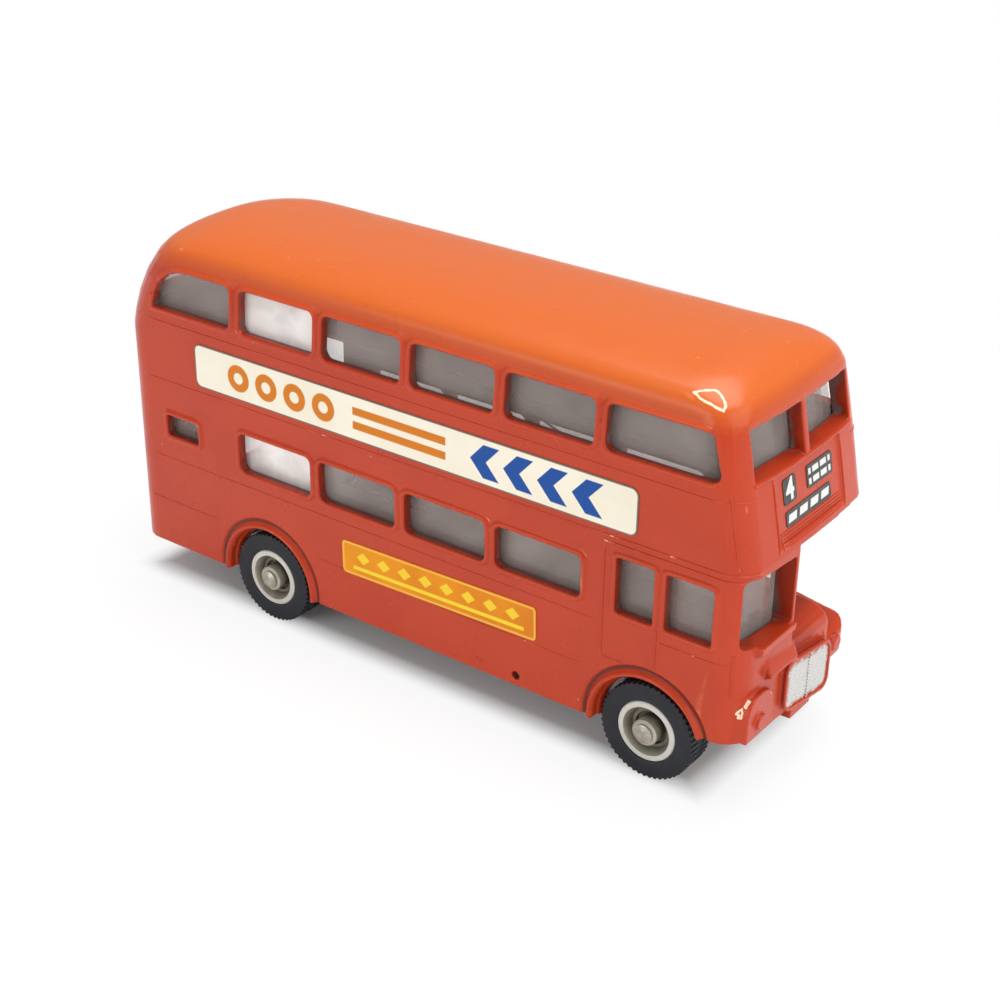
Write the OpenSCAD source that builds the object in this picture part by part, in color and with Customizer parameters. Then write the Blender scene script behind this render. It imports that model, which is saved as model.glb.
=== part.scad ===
// Die-cast toy double-deck bus: half cab, open rear platform, four rubber-tyred wheels.
// Front is +X, the driver's side is -Y, the ground is z = 0 and the origin is under the middle.

/* [Body casting] */
// Length from the rear wall to the windscreen ledge
overall_l = 112.9; // [111.9:0.1:115]
// Width across the flat sides
body_w = 32.9; // [32.5:0.1:34]
// Height of the roof crown above the ground
roof_z = 60; // [59.2:0.1:61.4]
// Height of the skirt's lower edge above the ground
skirt_z = 6.5; // [6.2:0.1:6.9]
// Height of the lower edge ahead of the front wheels
front_skirt_z = 10.2; // [9.8:0.1:10.4]
// Thickness of the cast walls
wall = 1.4; // [1.2:0.05:1.6]
// Thickness of the cast front, where the window reveals are deep
front_wall = 2.4; // [2:0.1:2.8]
// Height at which the upper sides start to lean inwards
waist_z = 45.4; // [44.4:0.1:46.4]
// Inward lean of the upper deck's sides in degrees
lean = 4; // [2:0.5:5]
// Height of the eaves, where the roof starts to curve
eaves_z = 54.8; // [54.6:0.1:56]
// Height of the lip under the upper deck's front
lip_z = 35.8; // [35:0.1:36.4]
// Backward rake of the upper deck's front in degrees
rake = 11.5; // [10:0.5:13]
// How far the front bows forward in its middle
front_bow = 1; // [0.4:0.1:1.4]
// Radius of the rear corners seen from above
rear_corner_r = 4.5; // [3.5:0.1:6]
// Radius of the front corners seen from above
front_corner_r = 3.5; // [3:0.1:4]
// Length of the rear dome along the roof
rear_dome_l = 15; // [12:0.5:17]
// Height at which the rear dome starts
rear_dome_z = 43; // [40:0.5:45]
// Length of the curved brow over the front windows
brow_l = 8.5; // [7:0.5:11]

/* [Windows] */
// Width of the pillar between two windows
pane_post = 1.5; // [1.2:0.1:3]
// Radius of a window's corners
pane_r = 1.3; // [0.6:0.1:2]
// Height of the lower windows' sill
lower_sill_z = 24.5; // [23.5:0.1:25.5]
// Height of a lower window
lower_pane_h = 6.6; // [5.6:0.1:7.4]
// Height of the upper windows' sill
upper_sill_z = 47.3; // [46.8:0.1:47.8]
// Height of an upper window
upper_pane_h = 6.7; // [5.8:0.1:7]
// Distance from the platform to the first lower window
lower_first = 6.6; // [5:0.1:8]
// How far the upper windows stand ahead of the lower ones
upper_first = 1.1; // [0:0.1:2]
// Height of the cab's windows
cab_pane_h = 8.6; // [7.6:0.1:9]
// Thickness of the centre pillar between the two front windows
pillar_w = 1.2; // [0.8:0.1:2]

/* [Cab and bonnet] */
// Length of the bonnet from the cab's front to the bulkhead
bonnet_l = 18; // [17:0.1:19]
// Width of the cab from the driver's side to its nearside wall
cab_w = 12.45; // [11.8:0.05:13]
// Height of the bonnet's crown
bonnet_z = 21.2; // [20.6:0.1:22]
// Width of the nearside wing beside the bonnet
wing_w = 7.05; // [6.5:0.05:7.6]
// Height of the nearside wing at the bulkhead
wing_z = 18; // [17.6:0.1:19]
// Radius of the bonnet's front edge
bonnet_r = 4.4; // [3:0.2:5]
// How far the windscreen ledge stands out of the cab's front
ledge_out = 0.4; // [0.3:0.05:0.7]
// Width of the radiator's painted shell
grille_w = 10.8; // [10:0.2:11.6]
// Height of the radiator's painted shell
grille_h = 6; // [5:0.1:6.6]

/* [Rear platform] */
// Width of the wall between the platform and the rear wheel arch
platform_post = 3.2; // [2.4:0.1:5]
// Depth of the platform opening from the nearside
platform_w = 13.05; // [11.4:0.05:14.4]
// Height of the opening's top
platform_top_z = 34; // [32:0.2:34.6]
// Diameter of the cast corner pole
pole_d = 1.3; // [1.1:0.05:1.4]

/* [Wheels] */
// Distance from the rear wall to the rear axle
rear_axle_d = 29; // [28.4:0.1:29.6]
// Distance from the cab's front to the front axle
front_axle_d = 14.6; // [14.2:0.1:15]
// Diameter of a tyre
tyre_d = 14.6; // [14:0.1:14.8]
// Width of a tyre
tyre_w = 4.9; // [4.6:0.1:5.2]
// Diameter of a hub's rim
rim_d = 9.1; // [8.6:0.1:9.6]
// Diameter of an axle
axle_d = 2; // [1.8:0.05:2.2]
// Diameter of a wheel arch
arch_d = 16.8; // [16.4:0.1:17.2]
// Distance of a tyre's outer face inside the body's side
wheel_inset = 0.6; // [0.5:0.05:0.9]

/* [Base plate] */
// Thickness of the pressed plate
plate_t = 0.9; // [0.8:0.05:1]
// Height of the plate's underside above the ground
plate_z = 10.2; // [10.1:0.05:10.4]
// Thickness of a folded axle lug
lug_t = 1.2; // [1:0.1:1.5]
// Diameter of a rivet's shank
rivet_d = 2.6; // [2.2:0.1:3]
// Diameter of a rivet's head
rivet_head_d = 4.4; // [4:0.1:5]

/* [Labels] */
// Distance from the rear wall to a cream label
label_rear = 15.7; // [10:0.1:20]
// Distance from the front to a cream label
label_front = 17.6; // [12:0.1:22]
// Height of a cream label
label_h = 7; // [6:0.1:7.4]
// Length of an orange label
plate_label_l = 35.4; // [30:0.2:38]
// Height of an orange label
plate_label_h = 5.4; // [4.6:0.1:6]
// Thickness of a label
label_t = 0.12; // [0.1:0.01:0.2]

/* [Hidden] */

// Overrun of every cut past the face that it opens
over = 2;
// Steps in a rounded corner, across the bowed front and over the roof
corner_n = 6;
bow_n = 6;
roof_n = 7;
// Facets of the round pieces
$fn = 64;

half_w = body_w / 2;
rear_x = -overall_l / 2;
cab_x = overall_l / 2 - ledge_out;
bulkhead_x = cab_x - bonnet_l;
rear_axle_x = rear_x + rear_axle_d;
front_axle_x = cab_x - front_axle_d;
platform_l = rear_axle_d - arch_d / 2 - platform_post;
platform_y = half_w - platform_w;
cab_wall_y = half_w - cab_w;
bonnet_y = half_w - wing_w;
axle_z = tyre_d / 2;
plate_top_z = plate_z + plate_t;

// How late the upper sides lean in, and the squareness of the roof's section, the rear dome and the brow
lean_power = 1.3;
roof_power = 2.6;
rear_power = 2.4;
brow_power = 2.2;
// Last angle of the roof's curve, which leaves a narrow flat along the crown
roof_end_angle = 84;
// Extra radius that the rear corners and the front corners gain up to the crown
rear_corner_gain = 6.5;
front_corner_gain = 3;
// Share of a slice's half width that a corner radius may take
corner_limit_share = 0.9;
// Height at which the brow starts
brow_z = upper_sill_z + upper_pane_h;

// Running fit of an axle in its lugs and hubs, per side
axle_fit = 0.05;
// Clearance of the base plate, the glazing and the rivets in the casting
plate_gap = 0.15;
glaze_gap = 0.1;
rivet_gap = 0.06;
// Clearance of a tyre on its hub
tyre_gap = 0.04;

// How much of a superellipse's span has been used up at a share of its rise
function used(u, power) = 1 - pow(max(0, 1 - pow(min(1, max(0, u)), power)), 1 / power);

// Slices of the body: height, and the share of the eaves' half width that is left there
function roof_rise(angle) = pow(sin(angle), 2 / roof_power);
function roof_level(i) =
    let (angle = roof_end_angle * i / roof_n)
    [eaves_z + (roof_z - eaves_z) * roof_rise(angle) / roof_rise(roof_end_angle),
     pow(cos(angle), 2 / roof_power)];
side_level_shares = [0, 1 / 3, 2 / 3];
levels = concat(
    [[skirt_z, 1], [lip_z, 1], [rear_dome_z, 1]],
    [for (s = side_level_shares) [waist_z + (eaves_z - waist_z) * s, 1]],
    [for (i = [0:roof_n]) roof_level(i)]);

// Half width, rear end and front end of the slice at one level
function lean_share(z) = max(0, (min(z, eaves_z) - waist_z) / (eaves_z - waist_z));
function level_half_w(v) =
    (half_w - (eaves_z - waist_z) * tan(lean) * pow(lean_share(v[0]), lean_power)) * v[1];
function level_rear(v) =
    rear_x + rear_dome_l * used((v[0] - rear_dome_z) / (roof_z - rear_dome_z), rear_power);
function front_at(z) = cab_x - max(0, z - lip_z) * tan(rake);
function level_front(v) =
    front_at(min(v[0], brow_z)) - brow_l * used((v[0] - brow_z) / (roof_z - brow_z), brow_power);
function gain(z, start) = max(0, (z - start) / (roof_z - start));

// One rounded corner, and the closed outline of a slice with its front bowed
function corner(x, y, r, start) =
    [for (i = [0:corner_n]) [x + r * cos(start + 90 * i / corner_n), y + r * sin(start + 90 * i / corner_n)]];
function bowed(points) =
    [for (p = points) [p[0] - (p[0] > 0 ? front_bow * pow(p[1] / half_w, 2) : 0), p[1]]];
function outline(hw, xr, xf, rr, rf) = bowed(concat(
    corner(xr + rr, -hw + rr, rr, 180),
    corner(xf - rf, -hw + rf, rf, 270),
    [for (i = [1:bow_n - 1]) [xf, (hw - rf) * (2 * i / bow_n - 1)]],
    corner(xf - rf, hw - rf, rf, 0),
    corner(xr + rr, hw - rr, rr, 90)));
function level_outline(v, inset, front_inset) =
    let (hw = level_half_w(v) - inset,
         rr = min(hw * corner_limit_share, rear_corner_r + rear_corner_gain * gain(v[0], rear_dome_z) - inset),
         rf = min(hw * corner_limit_share, front_corner_r + front_corner_gain * gain(v[0], brow_z)))
    outline(hw, level_rear(v) + inset, level_front(v) - front_inset, rr, rf);

// The body's form as a stack of outlines, drawn in from its sides, front and roof
ring_n = 4 * (corner_n + 1) + bow_n - 1;
level_n = len(levels);
function ring(v, inset, front_inset, foot_z) =
    let (z = v[0] == skirt_z ? foot_z : v[0] - inset * gain(v[0], eaves_z))
    [for (p = level_outline(v, inset, front_inset)) [p[0], p[1], z]];
module deck_form(inset, front_inset, foot_z) {
    points = [for (v = levels) each ring(v, inset, front_inset, foot_z)];
    foot = [[for (i = [0:ring_n - 1]) i]];
    crown = [[for (i = [1:ring_n]) level_n * ring_n - i]];
    walls = [for (k = [0:level_n - 2], i = [0:ring_n - 1], half = [0, 1])
        let (a = k * ring_n + i, b = k * ring_n + (i + 1) % ring_n)
        half == 0 ? [a, a + ring_n, b + ring_n] : [a, b + ring_n, b]];
    polyhedron(points, concat(foot, walls, crown));
}

// A box from its lowest to its highest corner
module box(low, high) {
    translate(low)
        cube(high - low);
}

// A rounded rectangle between two corners
function rounded(low, high, r) = concat(
    corner(low[0] + r, low[1] + r, r, 180),
    corner(high[0] - r, low[1] + r, r, 270),
    corner(high[0] - r, high[1] - r, r, 0),
    corner(low[0] + r, high[1] - r, r, 90));

// A flat outline in x and z, pushed along y from one place to another
module across(y0, y1) {
    translate([0, y1, 0])
        rotate([90, 0, 0])
            linear_extrude(y1 - y0)
                children();
}

// A flat outline in y and z, pushed along x from one place to another
module along(x0, x1) {
    translate([x0, 0, 0])
        rotate([90, 0, 90])
            linear_extrude(x1 - x0)
                children();
}

// The space over the bonnet that the half cab leaves open, drawn in by a wall's thickness
module cab_notch(inset) {
    box([bulkhead_x - inset, -cab_wall_y - inset, skirt_z - over],
        [cab_x + over + inset, half_w + over, lip_z + inset]);
}

// Cab door and cab side windows of the driver's side
cab_front_post = 5.15;
cab_side_l = 7.4;
cab_post = 1.5;
cab_door_l = 6.2;
cab_door_gap = 3.75;
cab_sill_drop = 0.2;
cab_side_x = cab_x - cab_front_post - cab_side_l;
cab_door_x = cab_side_x - cab_post - cab_door_l;
cab_sill_z = lower_sill_z - cab_sill_drop;
cab_pane_r = 0.7;
// Bays of both decks: they share out the length between the platform and the cab door
lower_n = 4;
upper_n = 4;
lower_x = rear_x + platform_l + lower_first;
upper_x = lower_x + upper_first;
bay_pitch = (cab_door_x - cab_door_gap - lower_x) / lower_n;
pane_l = bay_pitch - pane_post;
// Front window of the upper side: its length at the sill and the set-back of its top
front_bay_post = 3.56;
front_bay_slant = 1.3;
front_bay_x = upper_x + upper_n * bay_pitch;
front_bay_l = front_at(upper_sill_z) - front_bay_post - front_bay_x;
// Rear quarter window of the upper side, cut round to follow the dome
quarter_d = 7.1;
quarter_r = 7.2;
quarter_share = 0.92;
quarter_post = 1.7;
quarter_x = rear_x + quarter_d;
quarter_l = upper_x - quarter_post - quarter_x;
// Small stair window low at the rear of the driver's side
stair_pane_d = 8.6;
stair_pane_l = 6.9;
stair_pane_h = 3.7;
stair_pane_r = 0.6;
stair_pane_lift = 1.7;
stair_pane_x = rear_x + stair_pane_d;
stair_pane_z = lower_sill_z + stair_pane_lift;

module pane(x, z, l, h, r) {
    polygon(rounded([x, z], [x + l, z + h], r));
}

module side_panes_upper() {
    for (i = [0:upper_n - 1])
        pane(upper_x + i * bay_pitch, upper_sill_z, pane_l, upper_pane_h, pane_r);
    polygon(concat(
        corner(front_bay_x + pane_r, upper_sill_z + pane_r, pane_r, 180),
        corner(front_bay_x + front_bay_l - pane_r, upper_sill_z + pane_r, pane_r, 270),
        corner(front_bay_x + front_bay_l - front_bay_slant - pane_r, brow_z - pane_r, pane_r, 0),
        corner(front_bay_x + pane_r, brow_z - pane_r, pane_r, 90)));
    polygon(concat(
        [[quarter_x, upper_sill_z]],
        corner(quarter_x + quarter_l - pane_r, upper_sill_z + pane_r, pane_r, 270),
        corner(quarter_x + quarter_l - pane_r, brow_z - pane_r, pane_r, 0),
        [for (i = [0:corner_n - 1])
            let (angle = 90 * i / corner_n)
            [quarter_x + quarter_r * (1 - sin(angle)), brow_z - upper_pane_h * quarter_share * (1 - cos(angle))]]));
}

module side_panes_lower() {
    for (i = [0:lower_n - 1])
        pane(lower_x + i * bay_pitch, lower_sill_z, pane_l, lower_pane_h, pane_r);
}

module cab_panes() {
    pane(cab_door_x, cab_sill_z, cab_door_l, cab_pane_h, cab_pane_r);
    pane(cab_side_x, cab_sill_z, cab_side_l, cab_pane_h, cab_pane_r);
}

// Front windows of the upper deck, with a sill that falls outwards
front_sill_drop = 0.4;
front_pane_edge = 3.9;
module front_panes() {
    inner_x = front_at(upper_sill_z) - front_bow - front_wall - over;
    outer_x = cab_x + over;
    lip_x = front_at(upper_sill_z);
    for (side = [-1, 1])
        mirror([0, side < 0 ? 1 : 0, 0])
            across(pillar_w / 2, half_w - front_pane_edge)
                polygon([[inner_x, upper_sill_z], [lip_x - front_wall, upper_sill_z],
                    [lip_x, upper_sill_z - front_sill_drop], [outer_x, upper_sill_z - front_sill_drop],
                    [outer_x, brow_z], [inner_x, brow_z]]);
}

// Windscreen, cab partition window, bulkhead window and the windows of the rear wall
screen_edge = 1.3;
screen_post = 0.6;
screen_lift = 0.2;
screen_head = 1.2;
screen_z = cab_sill_z + screen_lift;
screen_top_z = lip_z - screen_head;
bulkhead_post = 2.4;
rear_pane_edge = 7.05;
rear_pane_y = half_w - rear_pane_edge;
rear_post = 1.4;
module end_panes() {
    along(cab_x - front_wall - front_bow - over, cab_x + over)
        polygon(rounded([-half_w + screen_edge, screen_z], [-cab_wall_y - screen_post, screen_top_z], cab_pane_r));
    across(-cab_wall_y - wall - over, -cab_wall_y + over)
        pane(bulkhead_x + wall, screen_z, cab_x - front_wall - bulkhead_x - 2 * wall, screen_top_z - screen_z, pane_r);
    along(bulkhead_x - wall - over, bulkhead_x + over)
        polygon(rounded([-cab_wall_y + wall, lower_sill_z], [half_w - bulkhead_post, lower_sill_z + lower_pane_h], pane_r));
    for (side = [-1, 1])
        mirror([0, side < 0 ? 1 : 0, 0])
            along(rear_x - over, rear_x + rear_dome_l / 2)
                polygon(rounded([rear_post / 2, upper_sill_z], [rear_pane_y, brow_z], pane_r));
    along(rear_x - over, rear_x + wall + over)
        polygon(rounded([-rear_pane_y - stair_pane_l / 2, stair_pane_z],
            [-rear_pane_y + stair_pane_l / 2, stair_pane_z + stair_pane_h], stair_pane_r));
}

// Recessed panel on the front that carries the blinds
blind_panel_w = 17.2;
blind_recess = 0.55;
blind_head = 0.5;
blind_foot = 1.4;
blind_panel_top = upper_sill_z - front_sill_drop - blind_head;
blind_panel_foot = lip_z + blind_foot;
module blind_recess_cut() {
    across(-blind_panel_w / 2, blind_panel_w / 2)
        polygon([[front_at(blind_panel_foot) - blind_recess, blind_panel_foot],
            [cab_x + over, blind_panel_foot], [cab_x + over, blind_panel_top],
            [front_at(blind_panel_top) - blind_recess, blind_panel_top]]);
}

// Bonnet and nearside wing, drawn in by a wall's thickness for the hollow below them
nose_back = 1.2;
nose_x = cab_x - nose_back;
bonnet_edge_r = 3.4;
bonnet_rise = 0.6;
wing_fall = 2.6;
wing_lift = 0.7;
wing_nose_r = 2.2;
wing_plan_r = 3.2;
module bonnet_form(inset) {
    top = bonnet_z - inset;
    front = nose_x - inset;
    foot = inset > 0 ? skirt_z - over : front_skirt_z;
    intersection() {
        across(-cab_wall_y - over, bonnet_y - inset)
            polygon(concat(
                [[bulkhead_x - over, foot], [front, foot]],
                corner(front - bonnet_r, top - bonnet_r, bonnet_r, 0),
                [[bulkhead_x - over, top + bonnet_rise]]));
        along(bulkhead_x - (inset > 0 ? 0 : wall / 2), nose_x + over)
            polygon(concat(
                [[-cab_wall_y - (inset > 0 ? 0 : wall / 2), foot - over], [bonnet_y - inset, foot - over]],
                corner(bonnet_y - inset - bonnet_edge_r, top + bonnet_rise - bonnet_edge_r, bonnet_edge_r, 0),
                [[-cab_wall_y - (inset > 0 ? 0 : wall / 2), top + bonnet_rise]]));
    }
}
module wing_form(inset) {
    top = wing_z - inset;
    front = nose_x - inset;
    foot = inset > 0 ? skirt_z - over : front_skirt_z + wing_lift;
    intersection() {
        across(bonnet_y - wall - inset, half_w - inset)
            polygon(concat(
                [[bulkhead_x - (inset > 0 ? 0 : wall / 2), foot], [front, foot]],
                corner(front - wing_nose_r, top - wing_fall - wing_nose_r, wing_nose_r, 0),
                [[bulkhead_x - (inset > 0 ? 0 : wall / 2), top]]));
        translate([0, 0, skirt_z - 2 * over])
            linear_extrude(wing_z)
                polygon(concat(
                    [[bulkhead_x - over, 0], [front, 0]],
                    corner(front - wing_plan_r, half_w - inset - wing_plan_r, wing_plan_r, 0),
                    [[bulkhead_x - over, half_w - inset]]));
    }
}

// Windscreen ledge, driver's wing, radiator surround, starting-handle block and headlamps on the front
ledge_h = 1;
cab_wing_w = 6.9;
cab_wing_edge = 1.2;
cab_wing_z = 17.4;
cab_wing_r = 3;
cab_wing_out = 0.3;
cab_wing_y = half_w - cab_wing_edge;
grille_t = 0.6;
grille_y = grille_w / 2;
grille_foot_z = 10.6;
block_w = 5.6;
block_h = 1.7;
block_lap = 0.8;
block_out = 1.4;
lamp_d = 2.4;
lamp_edge = 4.45;
lamp_y = half_w - lamp_edge;
lamp_z = 13.1;
lamp_t = 0.5;
module nose_details() {
    across(-half_w + front_corner_r, -cab_wall_y)
        polygon([[cab_x - front_wall, screen_z - 2 * ledge_h], [cab_x - ledge_h, screen_z - 2 * ledge_h],
            [cab_x + ledge_out, screen_z - ledge_h], [cab_x + ledge_out, screen_z], [cab_x - front_wall, screen_z]]);
    along(cab_x - front_wall, cab_x + cab_wing_out)
        polygon(concat(
            [[-cab_wing_y, front_skirt_z + wing_lift], [cab_wing_w - cab_wing_y, front_skirt_z + wing_lift]],
            corner(cab_wing_w - cab_wing_y - cab_wing_r, cab_wing_z - cab_wing_r, cab_wing_r, 0),
            corner(cab_wing_r - cab_wing_y, cab_wing_z - cab_wing_r, cab_wing_r, 90)));
    along(nose_x - wall, nose_x + grille_t)
        polygon(rounded([-grille_y, grille_foot_z], [grille_y, grille_foot_z + grille_h], pane_r));
    box([nose_x - wall, -block_w / 2, front_skirt_z - block_h],
        [nose_x + block_out, block_w / 2, front_skirt_z + block_lap]);
    translate([cab_x, -lamp_y, lamp_z])
        rotate([0, 90, 0])
            cylinder(d = lamp_d, h = cab_wing_out + lamp_t);
    translate([nose_x - wall / 2, lamp_y, lamp_z])
        rotate([0, 90, 0])
            cylinder(d = lamp_d, h = wall / 2 + lamp_t);
}

// Rivet posts of the casting: one under the bonnet, one in the rear corner of the driver's side
post_d = 5.6;
post_hole_h = 5;
post_in = 2.6;
front_post_d = 7.6;
rear_post_z = 20;
rivet_head_t = 0.9;
front_rivet_at = [cab_x - front_post_d, (bonnet_y - cab_wall_y) / 2];
rear_rivet_at = [rear_x + wall + post_in, -half_w + wall + post_in];
module posts() {
    translate([front_rivet_at[0], front_rivet_at[1], plate_top_z])
        cylinder(d = post_d, h = bonnet_z - wall / 2 - plate_top_z);
    translate([rear_rivet_at[0], rear_rivet_at[1], plate_top_z])
        cylinder(d = post_d, h = rear_post_z - plate_top_z);
}
module post_holes() {
    for (p = [front_rivet_at, rear_rivet_at])
        translate([p[0], p[1], plate_top_z - over])
            cylinder(d = rivet_d + 2 * rivet_gap, h = over + post_hole_h);
}

// Wheel arches, the opening of the rear platform, and the room that the base plate takes
arch_gap = 0.6;
arch_reach = tyre_w + wheel_inset + arch_gap;
module arches() {
    for (x = [rear_axle_x, front_axle_x])
        for (side = [-1, 1])
            translate([x, side * (half_w - arch_reach), axle_z])
                rotate([-90 * side, 0, 0])
                    cylinder(d = arch_d, h = arch_reach + over);
}
module platform_cut() {
    box([rear_x - over, platform_y, plate_top_z], [rear_x + platform_l, half_w + over, platform_top_z]);
}
module plate_room() {
    intersection() {
        translate([0, 0, skirt_z - over])
            linear_extrude(plate_top_z - skirt_z + over)
                polygon(level_outline(levels[0], wall, front_wall));
        box([rear_x, -half_w, skirt_z - over], [nose_x - wall, half_w, plate_top_z]);
    }
    box([front_axle_x, -half_w - over, skirt_z - over], [cab_x + over, half_w + over, front_skirt_z]);
}
pole_r = rear_corner_r - wall / 2;
pole_at = [rear_x + rear_corner_r - pole_r * cos(45), half_w - rear_corner_r + pole_r * sin(45)];
module pole() {
    translate([pole_at[0], pole_at[1], plate_top_z - wall / 2])
        cylinder(d = pole_d, h = platform_top_z - plate_top_z + wall);
}

module body_shell() {
    color("orangered")
        difference() {
            union() {
                difference() {
                    union() {
                        difference() {
                            deck_form(0, 0, skirt_z);
                            cab_notch(0);
                            difference() {
                                deck_form(wall, front_wall, skirt_z - over);
                                cab_notch(wall);
                            }
                            platform_cut();
                        }
                        difference() {
                            union() {
                                bonnet_form(0);
                                wing_form(0);
                            }
                            bonnet_form(wall);
                            wing_form(wall);
                        }
                    }
                    plate_room();
                }
                nose_details();
                posts();
                pole();
            }
            across(-half_w - over, half_w + over) {
                side_panes_upper();
                side_panes_lower();
            }
            across(-half_w - over, -half_w + wall + over) {
                cab_panes();
                pane(stair_pane_x, stair_pane_z, stair_pane_l, stair_pane_h, stair_pane_r);
            }
            front_panes();
            end_panes();
            blind_recess_cut();
            arches();
            post_holes();
        }
}

// Base plate: a flat pressing inside the skirt, notched at the wheels, with two lugs to each axle
lug_r = 2;
lug_edge = 0.55;
notch_gap = 0.2;
notch_x = arch_d / 2 + notch_gap;
notch_y = half_w - arch_reach - notch_gap;
lug_y = notch_y - lug_edge - lug_t;
plate_front_x = nose_x - wall - plate_gap;
module base_plate() {
    color("dimgray")
        difference() {
            union() {
                translate([0, 0, plate_z])
                    linear_extrude(plate_t)
                        difference() {
                            polygon(level_outline(levels[0], wall + plate_gap, front_wall + plate_gap));
                            translate([plate_front_x, -half_w])
                                square([overall_l / 2, body_w]);
                            for (x = [rear_axle_x, front_axle_x])
                                for (side = [-1, 1])
                                    translate([x - notch_x, side > 0 ? notch_y : -half_w])
                                        square([2 * notch_x, half_w - notch_y]);
                        }
                for (x = [rear_axle_x, front_axle_x])
                    for (y = [-lug_y - lug_t, lug_y]) {
                        translate([x, y, axle_z])
                            rotate([-90, 0, 0])
                                cylinder(r = lug_r, h = lug_t);
                        box([x - lug_r, y, axle_z], [x + lug_r, y + lug_t, plate_z]);
                    }
            }
            for (x = [rear_axle_x, front_axle_x])
                translate([x, -half_w, axle_z])
                    rotate([-90, 0, 0])
                        cylinder(d = axle_d + 2 * axle_fit, h = body_w);
            for (p = [front_rivet_at, rear_rivet_at])
                translate([p[0], p[1], plate_z - over])
                    cylinder(d = rivet_d + 2 * rivet_gap, h = plate_t + 2 * over);
        }
}

// Rivets: a round head under the plate and a shank in the casting's post
rivet_tip_gap = 0.4;
module rivet(p) {
    color("silver")
        translate([p[0], p[1], plate_z - rivet_head_t]) {
            cylinder(d = rivet_head_d, h = rivet_head_t);
            cylinder(d = rivet_d, h = rivet_head_t + plate_t + post_hole_h - rivet_tip_gap);
        }
}

// Glazing: thin clear bands that lie behind the windows
glaze_t = 0.8;
glaze_lap = 1.3;
module glaze_band(low_z, high_z) {
    intersection() {
        difference() {
            deck_form(wall + glaze_gap, front_wall + glaze_gap, skirt_z);
            deck_form(wall + glaze_gap + glaze_t, front_wall + glaze_gap + glaze_t, skirt_z - over);
        }
        box([rear_x, -half_w, low_z], [overall_l / 2, half_w, high_z]);
    }
}
module upper_glazing() {
    color("lightblue", 0.5)
        glaze_band(upper_sill_z - glaze_lap, brow_z + glaze_lap);
}
module lower_glazing() {
    low_z = lower_sill_z - glaze_lap;
    high_z = cab_sill_z + cab_pane_h + glaze_lap;
    inset = wall + glaze_gap;
    color("lightblue", 0.5) {
        difference() {
            glaze_band(low_z, high_z);
            cab_notch(inset);
            box([rear_x - over, platform_y - wall, low_z - over],
                [rear_x + platform_l + wall, half_w, high_z + over]);
        }
        box([bulkhead_x - inset - glaze_t, -cab_wall_y - inset - glaze_t, low_z],
            [bulkhead_x - inset, half_w - inset - glaze_t / 2, high_z]);
        box([bulkhead_x - inset - glaze_t / 2, -cab_wall_y - inset - glaze_t, low_z],
            [cab_x - front_wall - glaze_gap - glaze_t / 2, -cab_wall_y - inset, high_z]);
    }
}

// Axles: plain rods with peened heads outside the hubs
boss_out = 0.6;
head_gap = 0.08;
head_d = 2.9;
head_t = 0.5;
hub_y = half_w - wheel_inset;
head_y = hub_y + boss_out + head_gap;
module axle(x) {
    color("silver")
        translate([x, 0, axle_z])
            rotate([-90, 0, 0])
                rotate_extrude()
                    polygon([[0, -head_y - head_t], [head_d / 4, -head_y - head_t],
                        [head_d / 2, -head_y - head_t / 3], [head_d / 2, -head_y],
                        [axle_d / 2, -head_y], [axle_d / 2, head_y], [head_d / 2, head_y],
                        [head_d / 2, head_y + head_t / 3], [head_d / 4, head_y + head_t],
                        [0, head_y + head_t]]);
}

// Wheels: a turned hub with a dished face, and a tyre that sits between its flanges
flange_t = 0.5;
seat_depth = 0.5;
rim_lip = 0.85;
dish_depth = 1.8;
step_h = 0.45;
step_r_share = 0.66;
step_in_share = 0.55;
boss_d = 3.9;
boss_bevel = 0.25;
tyre_bulge = 0.16;
tyre_shoulder = 0.8;
module wheel_at(x, side) {
    translate([x, side * (hub_y - tyre_w), axle_z])
        rotate([-90 * side, 0, 0])
            rotate_extrude()
                children();
}
module hub(x, side) {
    rim_r = rim_d / 2;
    dish_z = tyre_w - dish_depth;
    color("gainsboro")
        wheel_at(x, side)
            polygon([[axle_d / 2 + axle_fit, 0], [rim_r, 0], [rim_r, flange_t],
                [rim_r - seat_depth, flange_t], [rim_r - seat_depth, tyre_w - flange_t],
                [rim_r, tyre_w - flange_t], [rim_r, tyre_w - flange_t / 4], [rim_r - flange_t / 4, tyre_w],
                [rim_r - rim_lip, tyre_w], [rim_r * step_r_share, dish_z + step_h],
                [rim_r * step_in_share, dish_z + step_h], [rim_r * step_in_share, dish_z],
                [boss_d / 2, dish_z], [boss_d / 2, tyre_w + boss_out - boss_bevel],
                [boss_d / 2 - boss_bevel, tyre_w + boss_out], [axle_d / 2 + axle_fit, tyre_w + boss_out]]);
}
module tyre(x, side) {
    seat_r = rim_d / 2 - seat_depth + tyre_gap;
    lip_r = rim_d / 2 + tyre_gap;
    out_r = tyre_d / 2;
    color("black")
        wheel_at(x, side)
            polygon(concat(
                [[seat_r, flange_t + tyre_gap], [lip_r, flange_t + tyre_gap], [lip_r, 0],
                    [(lip_r + out_r) / 2, -tyre_bulge]],
                [for (i = [0:corner_n]) [out_r - tyre_shoulder + tyre_shoulder * sin(90 * i / corner_n),
                    tyre_shoulder * (1 - cos(90 * i / corner_n))]],
                [for (i = [0:corner_n]) [out_r - tyre_shoulder + tyre_shoulder * cos(90 * i / corner_n),
                    tyre_w - tyre_shoulder * (1 - sin(90 * i / corner_n))]],
                [[(lip_r + out_r) / 2, tyre_w + tyre_bulge], [lip_r, tyre_w],
                    [lip_r, tyre_w - flange_t - tyre_gap], [seat_r, tyre_w - flange_t - tyre_gap]]));
}

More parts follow.
